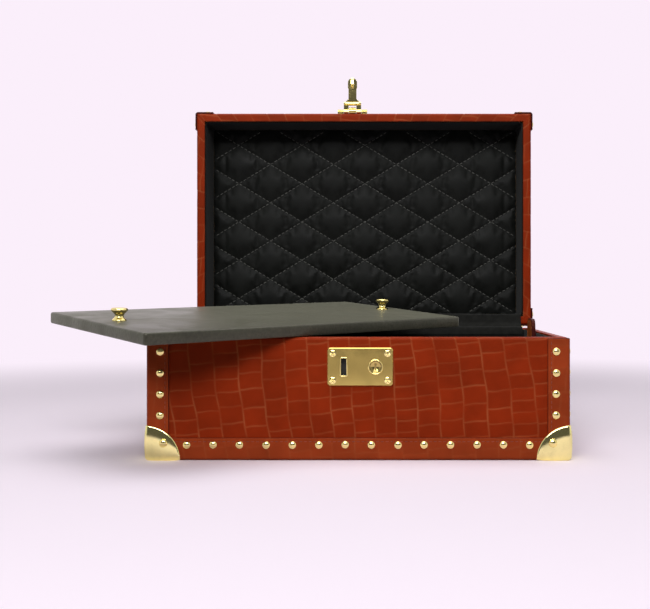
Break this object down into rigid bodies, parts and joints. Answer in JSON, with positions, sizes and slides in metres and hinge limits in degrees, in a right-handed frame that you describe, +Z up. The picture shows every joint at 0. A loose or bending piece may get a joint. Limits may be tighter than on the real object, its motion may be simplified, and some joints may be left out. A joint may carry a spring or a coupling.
{
  "type": "makeup train case",
  "caption": "Leather-covered hard case with edge bands, brass corners, domed nails, lock and hasp, a quilted hinged lid, a top handle and a loose knobbed cover panel.",
  "frame": {"origin": "centre of the base's underside, on the surface that the case stands on", "axes": "+X to the right of someone facing the lock, +Y from the lock to the hinges, +Z up"},
  "size_m": [0.4077, 0.3528, 0.3303],
  "materials": {
    "embossed_leather": "crocodile-embossed cognac leather, satin",
    "edge_leather": "embossed cognac leather band with painted cut edges",
    "strap_leather": "smooth cognac leather with dark painted edges",
    "board": "plywood core, hidden",
    "brass": "polished brass",
    "black_lining": "black suede-cloth lining",
    "quilted_lining": "quilted black satin-matt lining with grey stitches",
    "suede": "charcoal suede over board",
    "lock_steel": "pressed steel inside the lock"
  },
  "bodies": {
    "base": {"base_back_board": "board", "base_back_leather": "embossed_leather", "base_bottom_bands": "edge_leather", "base_brass_corner_back_left": "brass", "base_brass_corner_back_right": "brass", "base_brass_corner_front_left": "brass", "base_brass_corner_front_right": "brass", "base_corner_bands": "edge_leather", "base_floor_board": "board", "base_floor_leather": "embossed_leather", "base_floor_lining": "black_lining", "base_front_board": "board", "base_front_leather": "embossed_leather", "base_left_board": "board", "base_left_leather": "embossed_leather", "base_nails": "brass", "base_panel_ledges": "black_lining", "base_right_board": "board", "base_right_leather": "embossed_leather", "base_wall_lining": "black_lining", "hinge_base_leaves": "brass", "hinge_base_screws": "brass", "hinge_gusset": "black_lining", "hinge_pins": "brass", "lid_guide_tabs": "strap_leather", "lock_case": "lock_steel", "lock_plate": "brass", "lock_screws": "brass"},
    "lid": {"lid_back_board": "board", "lid_back_leather": "embossed_leather", "lid_brass_corner_back_left": "brass", "lid_brass_corner_back_right": "brass", "lid_brass_corner_front_left": "brass", "lid_brass_corner_front_right": "brass", "lid_corner_bands": "edge_leather", "lid_front_board": "board", "lid_front_leather": "embossed_leather", "lid_left_board": "board", "lid_left_leather": "embossed_leather", "lid_nails": "brass", "lid_quilted_pad": "quilted_lining", "lid_right_board": "board", "lid_right_leather": "embossed_leather", "lid_top_bands": "edge_leather", "lid_top_board": "board", "lid_top_leather": "embossed_leather", "lid_wall_lining": "black_lining", "hinge_lid_leaves": "brass", "hinge_lid_screws": "brass", "hasp_plate": "brass", "hasp_pin": "brass", "hasp_screws": "brass", "handle_mounts": "brass"},
    "hasp": {"hasp_tongue": "brass"},
    "handle": {"handle_grip": "strap_leather", "handle_pins": "brass"},
    "panel": {"cover_panel": "suede", "panel_knobs": "brass"},
    "lock_cylinder": {"lock_cylinder": "brass"},
    "lock_bolt": {"lock_bolt": "lock_steel"}
  },
  "joints": [
    {"name": "lid_hinge", "type": "hinge", "parent": "base", "child": "lid", "pos_m": [0, 0.103, 0.093], "axis": [1, 0, 0], "range_deg": [0, 90], "deforming": ["hinge_gusset"]},
    {"name": "hasp_hinge", "type": "hinge", "parent": "lid", "child": "hasp", "pos_m": [-0.011, 0.1076, 0.2984], "axis": [1, 0, 0], "range_deg": [-50, 90]},
    {"name": "handle_swing", "type": "hinge", "parent": "lid", "child": "handle", "pos_m": [0, 0.1654, 0.196], "axis": [1, 0, 0], "range_deg": [0, 180]},
    {"name": "lock_turn", "type": "hinge", "parent": "base", "child": "lock_cylinder", "pos_m": [0.013, -0.1, 0.0706], "axis": [0, -1, 0], "range_deg": [0, 90]},
    {"name": "bolt_slide", "type": "slide", "parent": "base", "child": "lock_bolt", "axis": [-1, 0, 0], "range_m": [0, 0.0045]},
    {"name": "panel_slide", "type": "slide", "parent": "base", "child": "panel", "axis": [-0.7649, -0.6441, 0], "range_m": [0, 0.286]}
  ],
  "couplings": [
    {"joint": "lock_turn", "follows": "bolt_slide", "rad_per_m": 349},
    {"joint": "panel_slide", "follows": "lid_hinge", "m_per_rad": 0.18144}
  ]
}
